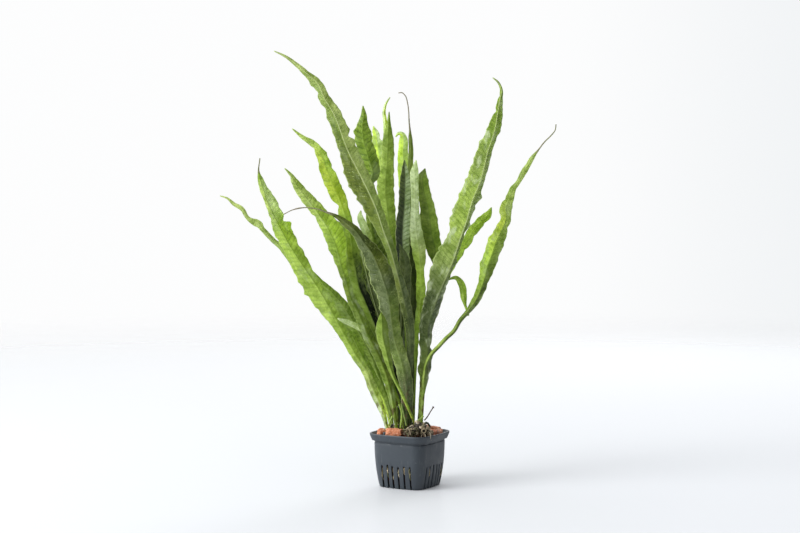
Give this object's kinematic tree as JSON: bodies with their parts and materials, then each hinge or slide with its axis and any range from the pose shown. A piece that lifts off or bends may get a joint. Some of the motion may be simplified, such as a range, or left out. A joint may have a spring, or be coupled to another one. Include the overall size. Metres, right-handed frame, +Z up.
{
  "type": "java fern",
  "caption": "Java fern in a tapered square net pot: arching ribbed leaves on a creeping rhizome, set in fired clay granules.",
  "frame": {"origin": "centre of the pot's base, on the surface the pot stands on", "axes": "+Z up the plant, -Y towards the side the picture shows, +X to the picture's right; the pot's sides are turned 30 degrees about Z"},
  "size_m": [0.264, 0.1438, 0.3354],
  "materials": {
    "pot_plastic": "satin",
    "clay": "matte",
    "loose_clay": "matte",
    "rhizome_bark": "matte",
    "leaf_green": "satin",
    "leaf_dark": "satin",
    "leaf_bright": "satin",
    "leaf_yellow": "satin"
  },
  "bodies": {
    "root": {"net_pot": "pot_plastic", "clay_bed": "clay", "clay_granule_big": "loose_clay", "clay_granule_front_left": "loose_clay", "clay_granule_left": "loose_clay", "clay_granule_back_left": "loose_clay", "clay_granule_back": "loose_clay", "clay_granule_back_right": "loose_clay", "clay_granule_far_corner": "loose_clay", "clay_granule_right": "loose_clay", "clay_granule_right_edge": "loose_clay", "clay_granule_front_right": "loose_clay", "clay_granule_front": "loose_clay", "rhizome": "rhizome_bark", "rhizome_front_fork": "rhizome_bark", "dead_leaf_stalk": "rhizome_bark", "young_stalk_right": "leaf_green", "young_stalk_middle": "leaf_green", "young_stalk_left": "leaf_green", "green_shoot": "leaf_green", "root_dark_curl": "rhizome_bark", "leaf_tall_left": "leaf_green", "leaf_yellow_left": "leaf_yellow", "leaf_bright_left": "leaf_bright", "leaf_dark_centre": "leaf_dark", "leaf_young_left": "leaf_yellow", "leaf_short_front": "leaf_bright", "leaf_broad_left": "leaf_bright", "leaf_thin_far_left": "leaf_green", "leaf_streaky_left": "leaf_green", "leaf_curled_left": "leaf_yellow", "leaf_narrow_left": "leaf_bright", "leaf_tall_right": "leaf_green", "leaf_far_right": "leaf_bright", "leaf_small_right": "leaf_bright", "leaf_behind_right": "leaf_yellow", "leaf_banded_middle": "leaf_green", "leaf_middle": "leaf_green", "leaf_bright_middle": "leaf_yellow", "leaf_curled_middle": "leaf_yellow", "leaf_arched_middle": "leaf_yellow", "leaf_thread_middle": "leaf_dark", "leaf_ribbed_middle": "leaf_dark", "leaf_mint_middle": "leaf_bright", "leaf_green_right": "leaf_dark", "leaf_dark_middle": "leaf_dark", "leaf_back_tall": "leaf_dark", "leaf_back_broad": "leaf_bright", "leaf_back_arched": "leaf_green", "leaf_back_narrow": "leaf_yellow", "leaf_back_upright": "leaf_dark"}
  },
  "joints": []
}
